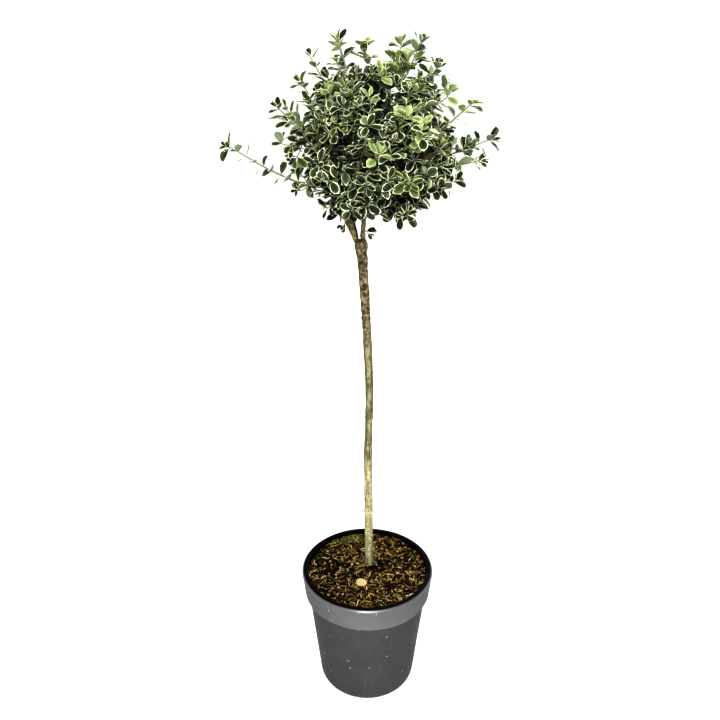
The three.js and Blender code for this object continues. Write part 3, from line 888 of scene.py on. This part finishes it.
def leaf_shape(random):
    """One leaf of length 1 along Y, facing +Z: its points."""
    width = random.uniform(0.24, 0.31)
    margin = LEAF_MARGIN + random.uniform(-0.07, 0.1, 2) + random.uniform(-0.06, 0.04, (len(LEAF_ROWS), 2))
    margin = np.minimum(margin, 0.96)
    fold, curl, cup = random.uniform(0.08, 0.45), random.uniform(-0.1, 0.4), random.uniform(-0.1, 0.2)
    ripple, twist = random.uniform(0, math.tau), random.normal(0, 0.12)
    top = []
    for u, half, (left, right) in zip(LEAF_ROWS, LEAF_HALF_WIDTH, margin):
        half_width = width * half
        for v in (-1, -left, -0.3, 0, 0.3, right, 1):
            x = half_width * v
            y = u - 0.05 * v * v * u + random.normal(0, 0.003)
            z = fold * abs(x) + cup * x * x * 3 - curl * (u - 0.3) ** 2 * (u > 0.3) + twist * x * u
            z += 0.03 * math.sin(9 * u + ripple) * v * half
            top.append((x, y, z))
    top = np.array(top)
    bottom = top - [0, 0, LEAF_THICKNESS]
    inner = np.zeros((len(LEAF_ROWS), LEAF_COLUMNS), bool)
    inner[1:-1, 1:-1] = True
    return np.concatenate([top, bottom[inner.ravel()]])


def leaf_faces():
    """The faces of every leaf, and which of the four colours each takes."""
    rows = len(LEAF_ROWS)
    upper = np.arange(rows * LEAF_COLUMNS).reshape(rows, LEAF_COLUMNS)
    lower = upper.copy()
    inner_points = np.arange((rows - 2) * (LEAF_COLUMNS - 2)).reshape(rows - 2, -1)
    lower[1:-1, 1:-1] = rows * LEAF_COLUMNS + inner_points
    faces, shades = [], []
    bands = [2, 1, 0, 0, 1, 2]
    for row in range(rows - 1):
        for column in range(LEAF_COLUMNS - 1):
            corners = [(row, column), (row, column + 1), (row + 1, column + 1), (row + 1, column)]
            faces.append([upper[corner] for corner in corners])
            faces.append([lower[corner] for corner in corners[::-1]])
            shade = 2 if row == rows - 2 else max(1, bands[column]) if row == rows - 3 else bands[column]
            shade = 1 if row == 0 else shade
            shades += [shade, 2 if bands[column] == 2 else 3]
    return np.array(faces), np.array(shades)


random = np.random.default_rng(611)
leaf_shapes = np.array([leaf_shape(random) for _ in range(LEAF_VARIANTS)])
leaf_quads, leaf_shades = leaf_faces()
palette_names = list(PALETTES)
PAINTED_SHADE_PALETTE = palette_names.index("inner")
CROWN_RADIUS = 95 * MM
MOST_SHADE = 1.12
SHADE_FALL = 1.35
LOW_SHADE = 0.48
CHOICE_LOW = 720 * MM
CHOICE_SPAN = 180 * MM
CHOICE_RADIUS = 110 * MM
LOST_ON_SHOOTS = 0.12
LOST_ELSEWHERE = 0.04


def choose_palette(place, on_shoot):
    """Young and olive leaves stand high and outside, deep green ones sit low and inside; near the middle
    leaves take the inner set, painted shade.
    """
    high = np.clip((place[2] - CHOICE_LOW) / CHOICE_SPAN, 0, 1)
    outside = np.clip(norm(place - CROWN_CENTRE) / CHOICE_RADIUS, 0, 1.4)
    # The fifth weight deals the inner set, painted shade, to leaves near the crown's middle.
    weights = np.array([1.7 - high - 0.4 * outside, 1.2 - 0.4 * high, 0.02 + 1.2 * high * outside, 0.3,
                        6.0 * max(0, 0.62 - outside), (0.04 + 0.1 * outside + 0.2 * on_shoot) * high ** 2])
    weights = np.maximum(weights, 0.005)
    return random.choice(len(weights), p=weights / weights.sum())


def dress(name, line, bare):
    """The leaves of one twig: for each its place, its axes, its length, its shape and its palette."""
    on_shoot = name.startswith("shoot_")
    steps = distances(line)
    spacing = (SHOOT_PAIR_SPACING if on_shoot else PAIR_SPACING) * random.uniform(0.85, 1.15)
    places = np.arange(steps[-1] * bare, steps[-1] - 1.5 * MM, spacing)
    places = np.concatenate([places, [steps[-1] - 3 * MM, steps[-1]]])
    roll = random.uniform(0, math.pi)
    palette = choose_palette(line[-1], on_shoot)
    leaves = []
    for index, distance in enumerate(places):
        place, ahead, back = points_at(distance + np.array([0, 1 * MM, -1 * MM]), steps, line)
        along = unit(ahead - back)
        aside = unit(np.cross(along, [0.37, 0.81, 0.45]))
        roll += math.pi / 2 + random.normal(0, 0.2)
        aside = unit(aside * math.cos(roll) + np.cross(along, aside) * math.sin(roll))
        from_tip = len(places) - 1 - index
        spread = math.radians((25, 52, 66, 70)[min(from_tip, 3)])
        size = (SHOOT_LEAF_LENGTH if on_shoot else LEAF_LENGTH) * random.uniform(0.88, 1.12)
        size *= (0.6, 0.9, 1, 1)[min(from_tip, 3)]
        high = share_of_height(place)
        light = (0.85 + 0.25 * high) * unit(LIGHT) + (0.36 - 0.16 * high) * unit(place - CROWN_CENTRE)
        # Pairs deep and low in the crown mostly take the inner set instead: painted shade.
        depth = norm(place - CROWN_CENTRE) / CROWN_RADIUS
        shade = MOST_SHADE - SHADE_FALL * depth + LOW_SHADE * (1 - high)
        pair_palette = PAINTED_SHADE_PALETTE if random.uniform() < shade else palette
        for side in (1, -1):
            if random.uniform() < (LOST_ON_SHOOTS if on_shoot else LOST_ELSEWHERE):
                continue
            angle = spread + random.normal(0, 0.14)
            axis = unit(along * math.cos(angle) + side * aside * math.sin(angle) + random.normal(0, 0.1, 3))
            face = 0.15 * along + light + random.normal(0, 0.3, 3)
            face = unit(face - axis * (face @ axis))
            length = size * random.uniform(0.85, 1.12)
            turned = np.stack([np.cross(axis, face), axis, face]) * length
            leaves.append((place + axis * 0.4 * MM, turned, pair_palette))
    return leaves


def make_leaves(piece_name, belongs):
    """One piece with the leaves of every twig whose node's name starts with one of those."""
    leaves = []
    for name, line, bare in twig_lines:
        if name.startswith(belongs):
            leaves += dress(name, line, bare)
    places = np.array([leaf[0] for leaf in leaves])
    turns = np.array([leaf[1] for leaf in leaves])
    palettes = np.array([leaf[2] for leaf in leaves])
    shapes = leaf_shapes[random.integers(0, LEAF_VARIANTS, len(leaves))]
    points = (np.einsum("npk,nkm->npm", shapes, turns) + places[:, None]).reshape(-1, 3)
    faces = leaf_quads[None] + (np.arange(len(leaves)) * shapes.shape[1])[:, None, None]
    slots = (palettes[:, None] * 4 + leaf_shades[None]).ravel()
    pile = Pile()
    pile.add(points, faces.reshape(-1, 4), slot=slots)
    piece = pile.make(piece_name, leaf_colours, sharp=75)
    return piece


# Leathery blades under a thin wax, with a satin top and a duller, paler underside.
leaf_colours = []
for name in palette_names:
    for part, code in zip(("centre", "blade", "margin", "underside"), PALETTES[name]):
        leaf_colours.append(plain("leaf_" + name + "_" + part, code, 0.5 if part != "underside" else 0.65,
                                  Specular_IOR_Level=0.3))
GROUPS = {"leaves_low": ("mass_low", "mass_heart"), "leaves_middle": ("mass_middle",),
          "leaves_high": ("mass_high", "mass_top"), "leaves_shoots": ("shoot_",)}
for piece_name, belongs in GROUPS.items():
    piece = make_leaves(piece_name, belongs)
    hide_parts(*[name for name in nodes if name.startswith(belongs)])

# ----------------------------------------
# Floor and light. A plain pale floor, which glows slightly so that it stays white, under a bright even sky
# dimmed high at the sides, as flags would, with soft lamps in front, low in front of the pot and behind.
FLOOR_SIZE = 6.0
FLOOR_GLOW = 0.3
SKY = 0.85
SKY_FLAGGED = 0.12
FLAG_BESIDE = (0.3, 0.75)
FLAG_ABOVE = (0.16, 0.4)
floor_mesh = bpy.data.meshes.new("floor")
corners = [(x * FLOOR_SIZE, y * FLOOR_SIZE, -0.2 * MM) for x, y in ((-1, -1), (1, -1), (1, 1), (-1, 1))]
floor_mesh.from_pydata(corners, [], [(0, 1, 2, 3)])
floor = bpy.data.objects.new("floor", floor_mesh)
scene.collection.objects.link(floor)
pale_floor = plain("pale_floor", "#d2d2d0", 0.9, Emission_Color=(1, 1, 1, 1), Emission_Strength=FLOOR_GLOW)
floor_mesh.materials.append(pale_floor)


def lamp(name, place, aim, size, power):
    """A square soft lamp that faces a point: places and size in metres, power in watts."""
    light = bpy.data.lights.new(name, "AREA")
    light.size = size
    light.energy = power
    holder = bpy.data.objects.new(name, light)
    holder.location = place
    holder.rotation_euler = (Vector(aim) - Vector(place)).to_track_quat("-Z", "Y").to_euler()
    holder.visible_camera = False
    scene.collection.objects.link(holder)


lamp("key", (-0.08, -2.1, 1.9), (0, 0, 0.5), 0.9, 72)
lamp("low", (0, -0.52, 0.14), (0, 0, 0.12), 0.2, 2.5)
lamp("back", (0.8, 1.9, 1.5), (0, 0, 0.6), 1.2, 42)
scene.view_settings.view_transform = "Standard"
scene.view_settings.look = "High Contrast"
world = bpy.data.worlds.new("studio")
scene.world = world
world.use_nodes = True
tree = world.node_tree
direction = add(tree, "TexCoord").outputs["Generated"]
parts = add(tree, "SeparateXYZ", {"Vector": direction})
sideways = add(tree, "Math", {0: parts.outputs["X"]}, operation="ABSOLUTE").outputs[0]
beside = add(tree, "MapRange", {"Value": sideways, "From Min": FLAG_BESIDE[0],
                                "From Max": FLAG_BESIDE[1]}).outputs["Result"]
above = add(tree, "MapRange", {"Value": parts.outputs["Z"], "From Min": FLAG_ABOVE[0],
                               "From Max": FLAG_ABOVE[1]}).outputs["Result"]
flagged = add(tree, "Math", {0: beside, 1: above}, operation="MULTIPLY").outputs[0]
dimmed = add(tree, "MapRange", {"Value": flagged, "To Min": SKY, "To Max": SKY_FLAGGED}).outputs["Result"]
feed(tree, tree.nodes["Background"], {"Color": (1, 1, 1, 1), "Strength": dimmed})
